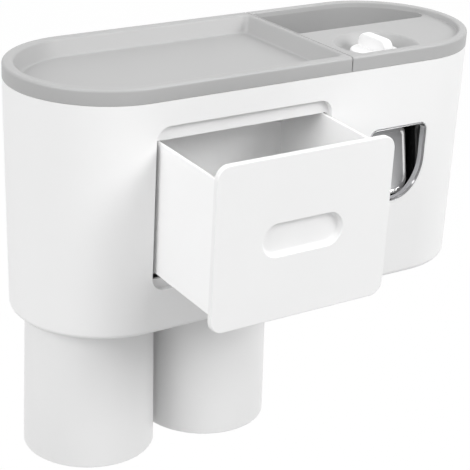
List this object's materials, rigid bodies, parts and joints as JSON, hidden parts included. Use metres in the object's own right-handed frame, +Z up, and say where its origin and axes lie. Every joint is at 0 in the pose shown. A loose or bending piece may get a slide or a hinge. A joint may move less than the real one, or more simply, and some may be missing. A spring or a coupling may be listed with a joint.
{
  "type": "toothpaste dispenser",
  "caption": "Wall-hung white toothpaste dispenser with a grey tray, a pull-out drawer, a push-plate squeezer window, a deep slot pocket and hanging upside-down cups.",
  "frame": {"origin": "centre of the adhesive pad's rear face, which lies on the wall", "axes": "+X along the housing's length, +Y into the wall, +Z up; the front faces -Y"},
  "size_m": [0.27, 0.1547, 0.2096],
  "materials": {
    "white_gloss": "smooth white with a soft gloss",
    "white_satin": "white with a satin face",
    "grey": "light grey with a fine satin face",
    "translucent_white": "milky, smooth",
    "soft_clear": "soft, milky and smooth",
    "foam": "thin foam with adhesive faces",
    "chrome": "polished",
    "black": "black with a gloss",
    "dark_rubber": "dark grey, dull",
    "steel": "bright drawn steel"
  },
  "bodies": {
    "wall_mount": {"adhesive_pad": "foam", "wall_plate": "translucent_white"},
    "housing": {"housing": "white_gloss", "bumper_left": "dark_rubber", "bumper_right": "dark_rubber", "drawer_cradle": "white_satin", "window_bezel": "chrome", "window_liner": "black", "squeezer_body": "black", "hinge_pin": "steel", "pin_clip": "steel", "pump_cylinder": "translucent_white", "return_spring": "steel", "inlet_socket": "soft_clear", "check_valve": "soft_clear", "feed_hose": "soft_clear", "outlet_nozzle": "soft_clear", "cradle_screw_1": "steel", "cradle_screw_2": "steel", "cradle_screw_3": "steel", "cradle_screw_4": "steel", "squeezer_screw_1": "steel", "squeezer_screw_2": "steel", "squeezer_screw_3": "steel", "squeezer_screw_4": "steel", "housing_magnet_left": "steel", "housing_magnet_right": "steel", "magnet_retainer_left": "white_satin", "magnet_retainer_right": "white_satin"},
    "drawer": {"drawer_box": "white_satin", "drawer_front": "white_gloss"},
    "push_plate": {"push_plate": "white_gloss"},
    "piston": {"piston": "black", "piston_seal": "dark_rubber"},
    "tray": {"tray": "grey"},
    "deck": {"deck": "grey"},
    "plug": {"plug": "white_gloss"},
    "cup_left": {"cup_left": "white_gloss", "cup_magnet_left": "steel", "cup_magnet_cap_left": "white_gloss"},
    "cup_right": {"cup_right": "white_gloss", "cup_magnet_right": "steel", "cup_magnet_cap_right": "white_gloss"}
  },
  "joints": [
    {"name": "housing_lift", "type": "slide", "parent": "wall_mount", "child": "housing", "axis": [0, 0, 1], "range_m": [0, 0.006]},
    {"name": "drawer_slide", "type": "slide", "parent": "housing", "child": "drawer", "axis": [0, -0.9991, -0.0419], "range_m": [-0.0522, 0.0115]},
    {"name": "push_plate_hinge", "type": "hinge", "parent": "housing", "child": "push_plate", "pos_m": [0.0664, -0.086, 0.006], "axis": [1, 0, 0], "range_deg": [0, 14], "stiffness_Nm_per_rad": 0.19, "springref_deg": -9.17},
    {"name": "piston_slide", "type": "slide", "parent": "housing", "child": "piston", "axis": [0, 1, 0], "range_m": [0, 0.0064], "deforming": ["return_spring"]},
    {"name": "tray_lift", "type": "slide", "parent": "housing", "child": "tray", "axis": [0, 0, 1], "range_m": [0, 0.03]},
    {"name": "deck_lift", "type": "slide", "parent": "housing", "child": "deck", "axis": [0, 0, 1], "range_m": [0, 0.08]},
    {"name": "plug_lift", "type": "slide", "parent": "deck", "child": "plug", "axis": [0, 0, 1], "range_m": [0, 0.03]},
    {"name": "cup_left_pull", "type": "slide", "parent": "housing", "child": "cup_left", "axis": [0, 0, -1], "range_m": [0, 0.1]},
    {"name": "cup_right_pull", "type": "slide", "parent": "housing", "child": "cup_right", "axis": [0, 0, -1], "range_m": [0, 0.1]}
  ],
  "couplings": [
    {"joint": "piston_slide", "follows": "push_plate_hinge", "m_per_rad": 0.025}
  ]
}
